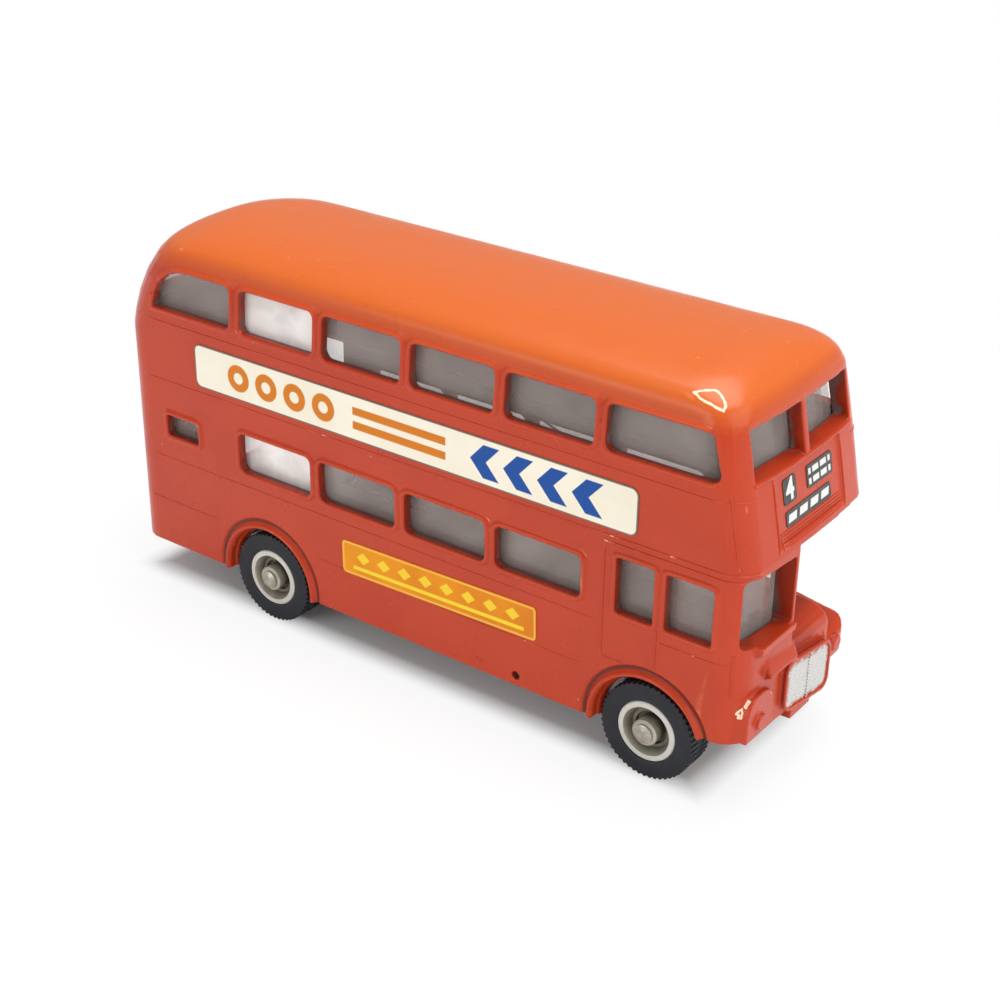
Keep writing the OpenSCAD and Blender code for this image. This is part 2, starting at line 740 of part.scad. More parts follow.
// Labels: thin paper on the flat sides and on the recessed panel of the front
label_z = 36.5;
label_x = rear_x + label_rear;
label_l = overall_l - label_rear - label_front;
label_r = 1.2;
plate_label_back = 1.35;
plate_label_z = 14.6;
plate_label_x = (rear_axle_x + front_axle_x) / 2 - plate_label_back - plate_label_l / 2;
plate_label_r = 0.7;
plate_label_tilt = 1.4;
module side_sheet(side, x, z, l, h, r, tilt) {
    across(side < 0 ? -half_w - label_t : half_w, side < 0 ? -half_w : half_w + label_t)
        translate([x + l / 2, z + h / 2])
            rotate(tilt)
                polygon(rounded([-l / 2, -h / 2], [l / 2, h / 2], r));
}
module side_label(side) {
    color("ivory")
        side_sheet(side, label_x, label_z, label_l, label_h, label_r, 0);
}
module side_plate(side) {
    color("orange")
        side_sheet(side, plate_label_x, plate_label_z, plate_label_l, plate_label_h, plate_label_r, plate_label_tilt);
}
blind_r = 0.4;
number_lift = 1.8;
route_lift = 1.7;
destination_drop = 1.9;
number_w = 3.3;
number_h = 3.5;
number_in = 2.1;
number_at = [-blind_panel_w / 2 + number_in, number_lift];
route_w = 6.8;
route_h = 3.1;
route_space = 2.9;
route_at = [number_at[0] + number_w + route_space, route_lift];
destination_w = 12;
destination_h = 2.1;
destination_in = 2.2;
destination_at = [-blind_panel_w / 2 + destination_in, -destination_drop];
panel_mid_z = (blind_panel_foot + blind_panel_top) / 2;
module blind(at, w, h) {
    color("dimgray")
        translate([front_at(panel_mid_z) - blind_recess, 0, panel_mid_z])
            rotate([0, -rake, 0])
                along(0, label_t)
                    polygon(rounded([at[0], at[1] - h / 2], [at[0] + w, at[1] + h / 2], blind_r));
}

body_shell();
base_plate();
rivet(front_rivet_at);  // front_rivet
rivet(rear_rivet_at);  // rear_rivet
upper_glazing();
lower_glazing();
axle(front_axle_x);  // front_axle
axle(rear_axle_x);  // rear_axle
hub(front_axle_x, -1);  // front_offside_hub
hub(front_axle_x, 1);  // front_nearside_hub
hub(rear_axle_x, -1);  // rear_offside_hub
hub(rear_axle_x, 1);  // rear_nearside_hub
tyre(front_axle_x, -1);  // front_offside_tyre
tyre(front_axle_x, 1);  // front_nearside_tyre
tyre(rear_axle_x, -1);  // rear_offside_tyre
tyre(rear_axle_x, 1);  // rear_nearside_tyre
side_label(-1);  // offside_label
side_label(1);  // nearside_label
side_plate(-1);  // offside_plate
side_plate(1);  // nearside_plate
blind(number_at, number_w, number_h);  // number_blind
blind(route_at, route_w, route_h);  // route_blind
blind(destination_at, destination_w, destination_h);  // destination_blind
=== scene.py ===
import math
import bpy
import bmesh
import numpy as np
from mathutils import Matrix, Vector
from mathutils.bvhtree import BVHTree


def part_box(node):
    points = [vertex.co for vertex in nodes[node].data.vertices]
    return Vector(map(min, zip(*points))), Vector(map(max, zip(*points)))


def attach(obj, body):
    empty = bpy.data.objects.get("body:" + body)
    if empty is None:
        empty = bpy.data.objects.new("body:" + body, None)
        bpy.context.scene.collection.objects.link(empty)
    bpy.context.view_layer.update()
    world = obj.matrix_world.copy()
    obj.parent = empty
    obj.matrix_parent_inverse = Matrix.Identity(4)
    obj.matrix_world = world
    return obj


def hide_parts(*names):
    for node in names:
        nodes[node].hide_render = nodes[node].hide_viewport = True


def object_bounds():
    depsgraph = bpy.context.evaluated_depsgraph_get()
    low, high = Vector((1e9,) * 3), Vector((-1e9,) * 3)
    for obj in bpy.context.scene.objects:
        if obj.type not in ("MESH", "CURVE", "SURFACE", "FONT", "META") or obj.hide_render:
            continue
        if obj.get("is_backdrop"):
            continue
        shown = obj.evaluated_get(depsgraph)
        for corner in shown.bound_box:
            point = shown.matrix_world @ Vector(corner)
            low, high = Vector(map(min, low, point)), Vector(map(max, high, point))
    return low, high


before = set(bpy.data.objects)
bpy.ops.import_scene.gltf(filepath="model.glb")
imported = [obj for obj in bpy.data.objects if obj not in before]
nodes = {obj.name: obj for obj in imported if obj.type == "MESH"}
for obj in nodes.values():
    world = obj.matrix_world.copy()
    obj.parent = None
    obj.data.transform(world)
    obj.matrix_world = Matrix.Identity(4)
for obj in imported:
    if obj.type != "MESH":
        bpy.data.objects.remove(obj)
cad_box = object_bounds()
bpy.ops.object.select_all(action="DESELECT")


# Studio: a white table that carries the toy, with a soft overhead light, a large window light from
# the front and a weak fill, and the camera that looks down on the driver's side and the front.
# The table reads white to the camera, except under the toy, where its shading shows.
def new_finish(name):
    finish = bpy.data.materials.new(name)
    finish.use_nodes = True
    tree = finish.node_tree
    tree.nodes.clear()
    out = tree.nodes.new("ShaderNodeOutputMaterial")
    skin = tree.nodes.new("ShaderNodeBsdfPrincipled")
    tree.links.new(skin.outputs[0], out.inputs[0])
    return finish, tree, skin


def surface_place(tree):
    return tree.nodes.new("ShaderNodeTexCoord").outputs["Object"]


def surface_grain(tree, scale, detail=3.0):
    grain = tree.nodes.new("ShaderNodeTexNoise")
    grain.inputs["Scale"].default_value = scale
    grain.inputs["Detail"].default_value = detail
    tree.links.new(surface_place(tree), grain.inputs["Vector"])
    return grain.outputs["Fac"]


def spread(tree, value, low, high, to_low, to_high):
    change = tree.nodes.new("ShaderNodeMapRange")
    change.clamp = True
    tree.links.new(value, change.inputs["Value"])
    change.inputs["From Min"].default_value = low
    change.inputs["From Max"].default_value = high
    change.inputs["To Min"].default_value = to_low
    change.inputs["To Max"].default_value = to_high
    return change.outputs["Result"]


def feed(tree, socket, value):
    if isinstance(value, (int, float, tuple, Vector)):
        socket.default_value = value
    elif value is not None:
        tree.links.new(value, socket)


def calc(tree, how, a, b=None, clamp=False):
    step = tree.nodes.new("ShaderNodeMath")
    step.operation = how
    step.use_clamp = clamp
    feed(tree, step.inputs[0], a)
    feed(tree, step.inputs[1], b)
    return step.outputs[0]


def vector_calc(tree, how, a, b=None, scale=None):
    step = tree.nodes.new("ShaderNodeVectorMath")
    step.operation = how
    feed(tree, step.inputs[0], a)
    feed(tree, step.inputs[1], b)
    if how == "SCALE":
        feed(tree, step.inputs["Scale"], scale)
    return step.outputs["Value"] if how in ("LENGTH", "DOT_PRODUCT") else step.outputs["Vector"]


def axes_of(tree, place):
    apart = tree.nodes.new("ShaderNodeSeparateXYZ")
    tree.links.new(place, apart.inputs[0])
    return apart.outputs


bpy.ops.mesh.primitive_plane_add(size=6, location=(0, 0, 0))
table = bpy.context.object
table.name = "table"
bpy.ops.object.mode_set(mode="EDIT")
bpy.ops.mesh.subdivide(number_cuts=3)
bpy.ops.object.mode_set(mode="OBJECT")
footprint_shift = (0.0035, 0, 0)
footprint_half = (0.0515, 0.0140, 0)
table_white, tree, skin = new_finish("table_white")
skin.inputs["Base Color"].default_value = (0.88, 0.88, 0.88, 1)
skin.inputs["Specular IOR Level"].default_value = 0.1
tree.links.new(spread(tree, surface_grain(tree, 40), 0.3, 0.7, 0.75, 0.9), skin.inputs["Roughness"])
from_toy = vector_calc(tree, "ABSOLUTE", vector_calc(tree, "ADD", surface_place(tree), footprint_shift))
past = axes_of(tree, vector_calc(tree, "SUBTRACT", from_toy, footprint_half))
past_toy = calc(tree, "MAXIMUM", past[0], past[1])
white_share = calc(tree, "ADD", spread(tree, past_toy, -0.0015, 0.0035, 0.0, 0.84),
                   spread(tree, past_toy, 0.02, 0.10, 0.0, 0.16))
seen = tree.nodes.new("ShaderNodeLightPath").outputs["Is Camera Ray"]
table_glow = tree.nodes.new("ShaderNodeEmission")
table_mix = tree.nodes.new("ShaderNodeMixShader")
tree.links.new(calc(tree, "MULTIPLY", seen, white_share), table_mix.inputs[0])
tree.links.new(skin.outputs[0], table_mix.inputs[1])
tree.links.new(table_glow.outputs[0], table_mix.inputs[2])
tree.links.new(table_mix.outputs[0], tree.nodes["Material Output"].inputs[0])
table.data.materials.append(table_white)
table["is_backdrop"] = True

room = bpy.data.worlds.new("studio_room")
bpy.context.scene.world = room
room.use_nodes = True
tree = room.node_tree
tree.nodes.clear()
room_out = tree.nodes.new("ShaderNodeOutputWorld")
room_mix = tree.nodes.new("ShaderNodeMixShader")
seen = tree.nodes.new("ShaderNodeLightPath").outputs["Is Camera Ray"]
tree.links.new(seen, room_mix.inputs[0])
for share, strength in ((1, 0.42), (2, 1.0)):
    room_light = tree.nodes.new("ShaderNodeBackground")
    room_light.inputs["Color"].default_value = (1, 1, 1, 1)
    room_light.inputs["Strength"].default_value = strength
    tree.links.new(room_light.outputs[0], room_mix.inputs[share])
tree.links.new(room_mix.outputs[0], room_out.inputs[0])


def studio_lamp(name, place, aim, size, power):
    bpy.ops.object.light_add(type="AREA", location=place)
    lamp = bpy.context.object
    lamp.name = name
    lamp.data.shape = "RECTANGLE"
    lamp.data.size = size[0]
    lamp.data.size_y = size[1]
    lamp.data.energy = power
    lamp.rotation_euler = (Vector(aim) - Vector(place)).to_track_quat("-Z", "Y").to_euler()


studio_lamp("overhead_light", (0.05, 0.10, 0.75), (0.0, 0.0, 0.04), (0.7, 0.5), 5.6)
studio_lamp("front_window_light", (0.75, -0.05, 0.40), (0.0, 0.0, 0.03), (0.9, 0.7), 3.3)
studio_lamp("side_fill", (-0.25, -0.80, 0.30), (0.0, 0.0, 0.03), (0.6, 0.4), 2.1)

bpy.ops.object.camera_add(location=(0.14625, -0.1922, 0.14615))
camera = bpy.context.object
camera_turn = Matrix.Rotation(math.radians(36.376), 3, "Z")
camera_tilt = Matrix.Rotation(math.pi / 2 - math.radians(26.977), 3, "X")
camera_roll = Matrix.Rotation(math.radians(0.821), 3, "Z")
camera.rotation_euler = (camera_turn @ camera_tilt @ camera_roll).to_euler()
camera.data.lens = 65.0
camera.data.sensor_width = 36.0
camera.data.clip_start = 0.01
bpy.context.scene.camera = camera
bpy.context.scene.view_settings.view_transform = "Standard"


# Body: one zinc die casting under thick gloss enamel, so every cast edge, window bead and moulding
# is soft. The copy of the casting gets its cast details, then one skin is drawn over all of them.
# Lengths in this section are in millimetres unless they go straight to the mesh.
def only(piece):
    bpy.ops.object.select_all(action="DESELECT")
    piece.select_set(True)
    bpy.context.view_layer.objects.active = piece


def settle(piece):
    only(piece)
    bpy.ops.object.transform_apply(location=True, rotation=True, scale=True)
    return piece


def join_onto(main, others):
    only(main)
    for piece in others:
        piece.select_set(True)
    bpy.ops.object.join()


def shape_by(piece, kind, **settings):
    only(piece)
    bpy.ops.object.modifier_add(type=kind)
    change = piece.modifiers[-1]
    for name, value in settings.items():
        setattr(change, name, value)
    bpy.ops.object.modifier_apply(modifier=change.name)


def cast_bar(low, high, soften, lean=0.0):
    middle = [(a + b) / 2000 for a, b in zip(low, high)]
    bpy.ops.mesh.primitive_cube_add(size=1, location=middle)
    bar = bpy.context.object
    bar.scale = [(b - a) / 1000 for a, b in zip(low, high)]
    bpy.ops.object.transform_apply(location=False, rotation=False, scale=True)
    bpy.ops.object.mode_set(mode="EDIT")
    bpy.ops.mesh.select_all(action="SELECT")
    bpy.ops.mesh.bevel(offset=soften / 1000, segments=3, affect="EDGES")
    bpy.ops.object.mode_set(mode="OBJECT")
    bar.rotation_euler = (0, math.radians(lean), 0)
    return settle(bar)


def cast_ring(place, major, minor, stretch, foot_ahead, foot_behind):
    bpy.ops.mesh.primitive_torus_add(major_radius=major / 1000, minor_radius=minor / 1000,
                                     major_segments=120, minor_segments=14,
                                     rotation=(math.pi / 2, 0, 0), location=[v / 1000 for v in place])
    ring = settle(bpy.context.object)
    bpy.ops.object.mode_set(mode="EDIT")
    bpy.ops.mesh.select_mode(type="VERT")
    bpy.ops.mesh.select_all(action="DESELECT")
    bpy.ops.object.mode_set(mode="OBJECT")
    for v in ring.data.vertices:
        v.co.y = place[1] / 1000 + (v.co.y - place[1] / 1000) * stretch
        foot = foot_ahead if v.co.x * 1000 > place[0] else foot_behind
        v.select = v.co.z * 1000 < foot
    bpy.ops.object.mode_set(mode="EDIT")
    bpy.ops.mesh.delete(type="VERT")
    bpy.ops.mesh.select_all(action="SELECT")
    bpy.ops.mesh.fill_holes(sides=0)
    bpy.ops.mesh.normals_make_consistent(inside=False)
    bpy.ops.object.mode_set(mode="OBJECT")
    return ring


front_axle_x = 41.45
rear_axle_x = -27.45
axle_z = 7.3
wall_half = 16.45


def arch_rings(y, major, minor, stretch, foot, wing_foot):
    rings = []
    for side in (-1, 1):
        for x, foot_ahead in ((rear_axle_x, foot), (front_axle_x, wing_foot)):
            rings.append(cast_ring((x, side * y, axle_z), major, minor, stretch, foot_ahead, foot))
    return rings


def rounded_plate(size, corner):
    bpy.ops.mesh.primitive_plane_add(size=1)
    plate = bpy.context.object
    plate.scale = (size[0] / 1000, size[1] / 1000, 1)
    bpy.ops.object.transform_apply(location=False, rotation=False, scale=True)
    bpy.ops.object.mode_set(mode="EDIT")
    bpy.ops.mesh.select_all(action="SELECT")
    bpy.ops.mesh.bevel(offset=corner / 1000, segments=6, affect="VERTICES")
    return plate


def stand_at_front(plate, place):
    facing_front = Matrix(((0, 0, 1, 0), (1, 0, 0, 0), (0, 1, 0, 0), (0, 0, 0, 1)))
    plate.matrix_world = Matrix.Translation([v / 1000 for v in place]) @ facing_front
    return settle(plate)


def side_half(z):
    waist_z = 45.4
    rise = 9.4
    share = max(0.0, (min(z, waist_z + rise) - waist_z) / rise)
    return wall_half - rise * math.tan(math.radians(4)) * share ** 1.3


body = bpy.data.objects.new("body_casting", nodes["body_shell"].data.copy())
bpy.context.scene.collection.objects.link(body)
body.data.materials.clear()
only(body)
bpy.ops.object.mode_set(mode="EDIT")
bpy.ops.mesh.select_all(action="SELECT")
bpy.ops.mesh.remove_doubles(threshold=0.000002)
bpy.ops.mesh.select_mode(type="EDGE")
bpy.ops.mesh.select_all(action="DESELECT")
bpy.ops.object.mode_set(mode="OBJECT")

# Beads round the side windows: the sharp rim of each opening on the outer face is drawn off as a
# line, grown a little and swept with a round section.
rim_form = bmesh.new()
rim_form.from_mesh(body.data)
for edge in rim_form.edges:
    m = (edge.verts[0].co + edge.verts[1].co) * 500
    on_side = abs(abs(m.y) - side_half(m.z)) < 0.06 and m.x < 51.5
    on_platform = m.y > 0 and m.x < -33.5
    in_lower_row = 24.0 < m.z < 33.2 and m.x > -50 and not on_platform
    in_upper_row = 46.8 < m.z < 54.3
    sharp = len(edge.link_faces) == 2 and edge.calc_face_angle(0.0) > 0.9
    edge.select_set(on_side and (in_lower_row or in_upper_row) and sharp)
rim_form.to_mesh(body.data)
rim_form.free()
bpy.ops.object.mode_set(mode="EDIT")
bpy.ops.mesh.select_mode(type="EDGE")
bpy.ops.mesh.duplicate()
bpy.ops.mesh.separate(type="SELECTED")
bpy.ops.object.mode_set(mode="OBJECT")
window_bead = [o for o in bpy.context.selected_objects if o is not body][0]
only(window_bead)
rim_of = list(range(len(window_bead.data.vertices)))
for sweep in range(80):
    for edge in window_bead.data.edges:
        first = min(rim_of[i] for i in edge.vertices)
        for i in edge.vertices:
            rim_of[i] = first
bead_growth = 0.0005
for first in set(rim_of):
    rim = [window_bead.data.vertices[i] for i, r in enumerate(rim_of) if r == first]
    for axis in (0, 2):
        low = min(v.co[axis] for v in rim)
        high = max(v.co[axis] for v in rim)
        grow = (high - low + bead_growth) / max(high - low, 0.0001)
        for v in rim:
            v.co[axis] = (low + high) / 2 + (v.co[axis] - (low + high) / 2) * grow
bpy.ops.object.convert(target="CURVE")
window_bead.data.bevel_depth = 0.00042
window_bead.data.bevel_resolution = 3
bpy.ops.object.convert(target="MESH")
cast_details = [window_bead]

# Arches and skirt: a flange round each wheel, the lining behind it and a small boss
cast_details += arch_rings(15.75, 8.92, 0.52, 2.4, 6.1, 9.9)
cast_details += arch_rings(14.1, 8.32, 0.50, 2.6, 6.3, 10.2)
bpy.ops.mesh.primitive_uv_sphere_add(segments=20, ring_count=12, radius=0.00055,
                                     location=(0.0134, -0.01635, 0.00835))
cast_details.append(settle(bpy.context.object))

# Front: the scuttle plate, the radiator frame, the lamp rings and the bonnet bead
radiator_y = 0.7
radiator_z = 13.95
radiator_drop = 0.15


def drop_to_nearside(piece):
    for v in piece.data.vertices:
        v.co.z -= radiator_drop * (v.co.y - radiator_y / 1000)


cast_details.append(cast_bar((54.9, -10.4, 18.5), (56.32, -3.1, 21.3), 0.22, -24))
radiator_frame = rounded_plate((13.0, 8.1), 2.0)
bpy.ops.mesh.select_all(action="SELECT")
bpy.ops.mesh.inset(thickness=0.00055)
bpy.ops.mesh.delete(type="FACE")
bpy.ops.object.mode_set(mode="OBJECT")
shape_by(radiator_frame, "SOLIDIFY", thickness=0.00075, offset=0)
stand_at_front(radiator_frame, (56.35, radiator_y, radiator_z))
radiator_back = cast_bar((53.2, -5.6, 10.1), (56.27, 7.0, 17.8), 0.6)
for piece in (radiator_frame, radiator_back):
    drop_to_nearside(piece)
    cast_details.append(piece)
for lamp_place in ((0.05610, -0.012, 0.0131), (0.05485, 0.012, 0.0131)):
    bpy.ops.mesh.primitive_torus_add(major_radius=0.00125, minor_radius=0.00028,
                                     rotation=(0, math.pi / 2, 0), location=lamp_place)
    cast_details.append(settle(bpy.context.object))
bpy.ops.curve.primitive_bezier_curve_add()
bonnet_bead = bpy.context.object
bead_ends = (((0.0382, 0.0082, 0.0215), (0.036, 0.0082, 0.0216), (0.048, 0.0084, 0.0212)),
             ((0.0549, 0.0080, 0.0155), (0.0549, 0.0082, 0.0195), (0.0549, 0.008, 0.015)))
for end, (place, before, after) in zip(bonnet_bead.data.splines[0].bezier_points, bead_ends):
    end.co = place
    end.handle_left = before
    end.handle_right = after
bonnet_bead.data.bevel_depth = 0.00032
bonnet_bead.data.resolution_u = 24
bpy.ops.object.convert(target="MESH")
cast_details.append(bonnet_bead)

join_onto(body, cast_details)
body.data.remesh_voxel_size = 0.00024
bpy.ops.object.voxel_remesh()

# Cuts into the skin: the grooves that run round the arch flanges, and the small hole in the skirt
groove_radius = 9.84
groove_cuts = arch_rings(16.46, groove_radius, 0.36, 1.0, 5.6, 9.9)
bpy.ops.mesh.primitive_cylinder_add(vertices=40, radius=0.00068, depth=0.003,
                                    rotation=(math.pi / 2, 0, 0), location=(0.0199, -0.0164, 0.0081))
skirt_hole = settle(bpy.context.object)
groove_cut = groove_cuts[0]
join_onto(groove_cut, groove_cuts[1:] + [skirt_hole])
shape_by(body, "BOOLEAN", operation="DIFFERENCE", object=groove_cut, solver="MANIFOLD")
bpy.data.objects.remove(groove_cut)
bpy.ops.object.voxel_remesh()

# The enamel evens out the roof, the corners and the bonnet, and softens every edge a little
places = np.empty(len(body.data.vertices) * 3, dtype=np.float32)
body.data.vertices.foreach_get("co", places)
px, py, pz = places.reshape(-1, 3).T * 1000
rear_corners = (px < -50.5) & (np.abs(py) > 11.0) & (pz > 35.0)
rear_corners |= (px < -51.0) & (py < -13.3) & (pz > 8.0)
front_corners = (px > 51.8) & (np.abs(py) > 13.1) & (pz > 36.6)
front_corners |= (px > 51.8) & (py < -13.6) & (pz > 25.0)
nose = (px > 38.8) & (px < 54.0) & (py > -3.2) & (pz > 15.5) & (pz < 23.0)
for name, area, passes in (("roof", pz > 55.0, 70), ("corner", rear_corners | front_corners, 26),
                           ("nose", nose, 14)):
    group = body.vertex_groups.new(name=name)
    group.add(np.flatnonzero(area).tolist(), 1.0, "REPLACE")
    shape_by(body, "SMOOTH", factor=0.5, iterations=passes, vertex_group=name)
shape_by(body, "SMOOTH", factor=0.5, iterations=2)
most_triangles = 190000
shape_by(body, "DECIMATE", ratio=min(1.0, most_triangles / (2 * len(body.data.polygons))))
body.vertex_groups.clear()
roof_edge = 0.055
roof_rise = 0.005
crown = max(v.co.z for v in body.data.vertices)
for v in body.data.vertices:
    if v.co.z > roof_edge:
        v.co.z = roof_edge + (v.co.z - roof_edge) * roof_rise / (crown - roof_edge)
    v.co.x = max(cad_box[0][0], min(cad_box[1][0], v.co.x))
    v.co.z = min(cad_box[1][2], v.co.z)
bpy.ops.object.shade_smooth()
shape_by(body, "WEIGHTED_NORMAL", weight=70)

# How sheltered each place is: the share of rays over it that meet the casting again
casting_faces = BVHTree.FromObject(body, bpy.context.evaluated_depsgraph_get())
fan = [Vector((0, 0, 1))]
for spokes, tall in ((5, 0.75), (6, 0.35)):
    wide = (1 - tall * tall) ** 0.5
    for k in range(spokes):
        angle = 2 * math.pi * k / spokes
        fan.append(Vector((math.cos(angle) * wide, math.sin(angle) * wide, tall)))
shelter = np.zeros(len(body.data.vertices), dtype=np.float32)
for v in body.data.vertices:
    turn_up = v.normal.to_track_quat("Z", "X")
    start = v.co + v.normal * 0.0002
    met = [way for way in fan if casting_faces.ray_cast(start, turn_up @ way, 0.2)[0] is not None]
    shelter[v.index] = len(met) / len(fan)
body.data.attributes.new("shelter", "FLOAT", "POINT")
body.data.attributes["shelter"].data.foreach_set("value", shelter)


# Cast lines: the mouldings along the sides and round the cab's corner, the door's outline and the
# louvres under the blinds. They are part of the casting, and are laid on it as thin round lines
# where a probe from outside meets it.
def probe(start, way):
    return casting_faces.ray_cast(Vector(start) / 1000, Vector(way).normalized())[0]


def cast_line(points, thick):
    path = bpy.data.curves.new("cast_line", "CURVE")
    path.dimensions = "3D"
    path.bevel_depth = thick / 1000
    path.bevel_resolution = 2
    path.use_fill_caps = True
    run = path.splines.new("POLY")
    points = [q for q in points if q is not None]
    run.points.add(len(points) - 1)
    for spot, place in zip(run.points, points):
        spot.co = (*place, 1)
    line = bpy.data.objects.new("cast_line", path)
    bpy.context.scene.collection.objects.link(line)
    only(line)
    bpy.ops.object.convert(target="MESH")
    return bpy.context.object


def along_side(side, z, start, end, corner_turn):
    places = [probe((x, side * 30, z), (0, -side, 0)) for x in np.linspace(start, end, 40)]
    corner_middle = Vector((49.5, side * 11.5, z))
    for k in range(1, corner_turn):
        angle = math.radians(90 - 5 * k)
        way = Vector((math.cos(angle), side * math.sin(angle), 0))
        places.append(probe(corner_middle + way * 20, -way))
    return places


def up_side(x, low, high):
    return [probe((x, -30, z), (0, 1, 0)) for z in np.linspace(low, high, 12)]


def across_front(z, half, count):
    return [probe((80, y, z), (-1, 0, 0)) for y in np.linspace(-half, half, count)]


def up_front(y, low, high):
    return [probe((80, y, z), (-1, 0, 0)) for z in np.linspace(low, high, 14)]


trim_lines = []
for side, tail in ((-1, -53), (1, -37)):
    for z, start, end, corner_turn, thick in ((45.2, -53, 49.3, 16, 0.10), (22.2, tail, 33.5, 0, 0.08),
                                              (14.45, -17.2, 31, 0, 0.08), (35.5, tail, 33.5, 0, 0.09)):
        trim_lines.append(cast_line(along_side(side, z, start, end, corner_turn), thick))
for z, start, end, corner_turn, thick in ((35.5, 33.8, 49.3, 16, 0.17), (34.55, 33.8, 49.3, 16, 0.17),
                                          (22.2, 43.0, 49.3, 10, 0.09), (14.45, -53, -37.9, 0, 0.08),
                                          (17.0, 34.0, 37.6, 0, 0.12)):
    trim_lines.append(cast_line(along_side(-1, z, start, end, corner_turn), thick))
for x, low, high in ((34.0, 17.0, 34.4), (42.5, 17.6, 23.7)):
    trim_lines.append(cast_line(up_side(x, low, high), 0.12))
for k in range(5):
    trim_lines.append(cast_line(across_front(36.75 + 0.46 * k, 8.0, 24), 0.13))
trim_lines.append(cast_line(across_front(46.75, 12.8, 30), 0.22))
for y, low, high, thick in ((-8.9, 36.4, 46.2, 0.17), (8.9, 36.4, 46.2, 0.17),
                            (-15.75, 36.3, 46.2, 0.13), (-15.75, 17.7, 23.8, 0.13)):
    trim_lines.append(cast_line(up_front(y, low, high), thick))
body_lines = trim_lines[0]
join_onto(body_lines, trim_lines[1:])
body_lines.name = "body_lines"
bpy.ops.object.shade_smooth()


# Enamel: red paint sprayed over the whole casting. The roof is painted paler as a highlight from the
# overhead light, sharp edges are lighter, partly thin worn paint and partly painted highlight, and
# sheltered places are darkened as painted shade. It is chipped to the primer on the roof's corner
# and on the wing, the arch grooves are painted dark as shade, and the inside is bare zinc, painted
# dark as shade.
def tint(tree, amount, a, b):
    mix = tree.nodes.new("ShaderNodeMix")
    mix.data_type = "RGBA"
    for socket, value in ((mix.inputs[0], amount), (mix.inputs[6], a), (mix.inputs[7], b)):
        feed(tree, socket, (*value, 1) if isinstance(value, tuple) else value)
    return mix.outputs[2]


def times(tree, a, b):
    return calc(tree, "MULTIPLY", a, b)


def off_middle(tree, value, middle=0.0):
    return calc(tree, "ABSOLUTE", calc(tree, "SUBTRACT", value, middle) if middle else value)


def disc_distance(tree, du, dv):
    return calc(tree, "SQRT", calc(tree, "ADD", times(tree, du, du), times(tree, dv, dv)))


def axle_distance(tree, place):
    half_base = (front_axle_x - rear_axle_x) / 2000
    middle = (front_axle_x + rear_axle_x) / 2000
    along = calc(tree, "SUBTRACT", off_middle(tree, place[0], middle), half_base)
    return disc_distance(tree, along, calc(tree, "SUBTRACT", place[2], axle_z / 1000))


def relief(tree, skin, height, strength, distance):
    bump = tree.nodes.new("ShaderNodeBump")
    bump.inputs["Strength"].default_value = strength
    bump.inputs["Distance"].default_value = distance
    tree.links.new(height, bump.inputs["Height"])
    tree.links.new(bump.outputs[0], skin.inputs["Normal"])


def chip_distance(tree, where, path):
    nearest = None
    for a, b in zip(path[:-1], path[1:]):
        along = b - a
        from_a = vector_calc(tree, "SUBTRACT", where, a)
        share = vector_calc(tree, "DOT_PRODUCT", from_a, along / along.length_squared)
        reach = vector_calc(tree, "SCALE", along, None, spread(tree, share, 0, 1, 0, 1))
        away = vector_calc(tree, "LENGTH", vector_calc(tree, "SUBTRACT", from_a, reach))
        nearest = away if nearest is None else calc(tree, "MINIMUM", nearest, away)
    return nearest


def on_casting(across, down):
    # The place on the casting that the camera sees at a place in a frame of 1000 by 1000
    reach = 1000 * camera.data.lens / camera.data.sensor_width
    look = camera.rotation_euler.to_matrix() @ Vector(((across - 500) / reach, (500 - down) / reach, -1))
    return casting_faces.ray_cast(camera.location, look.normalized())[0]


roof_chip = ((694, 392.3), (700, 391.2), (708, 390.2), (715, 390.2), (720.5, 394), (723.8, 399.5),
             (725.8, 406), (724, 411), (718, 408.6), (711, 404.2), (702.6, 400), (694, 392.3))
wing_chip = ((736, 714.6), (739.5, 711), (742, 709.5), (742.4, 713.5), (741, 718.5),
             (737.6, 718.4), (739.4, 715.4), (736, 714.6))
lamp_chip = ((744.5, 707), (748.6, 700.8), (750, 702), (746.4, 707.8), (744.5, 707))

enamel, tree, skin = new_finish("red_enamel")
where = surface_place(tree)
place = axes_of(tree, where)
form = tree.nodes.new("ShaderNodeNewGeometry")
cover = tree.nodes.new("ShaderNodeAttribute")
cover.attribute_name = "shelter"
sheltered = cover.outputs["Fac"]
clouds = spread(tree, surface_grain(tree, 70, 3), 0.35, 0.65, 0, 1)
paint = tint(tree, clouds, (0.450, 0.036, 0.007), (0.490, 0.043, 0.009))
# Painted highlight: the roof is tinted paler and more orange, standing in for the light from above.
paint = tint(tree, spread(tree, place[2], 0.0535, 0.0575, 0, 1), paint, (0.60, 0.118, 0.018))
# Painted shade: the more sheltered a place is, the darker its red.
paint = tint(tree, spread(tree, sheltered, 0.25, 0.7, 0, 0.75), paint, (0.18, 0.016, 0.008))
# Sharp edges turn lighter orange: partly thin, worn paint and partly a painted highlight along the edges.
worn_and_highlit_edges = times(tree, spread(tree, form.outputs["Pointiness"], 0.555, 0.63, 0, 1),
                   spread(tree, surface_grain(tree, 420, 4), 0.42, 0.62, 0.1, 0.8))
paint = tint(tree, worn_and_highlit_edges, paint, (0.66, 0.16, 0.06))
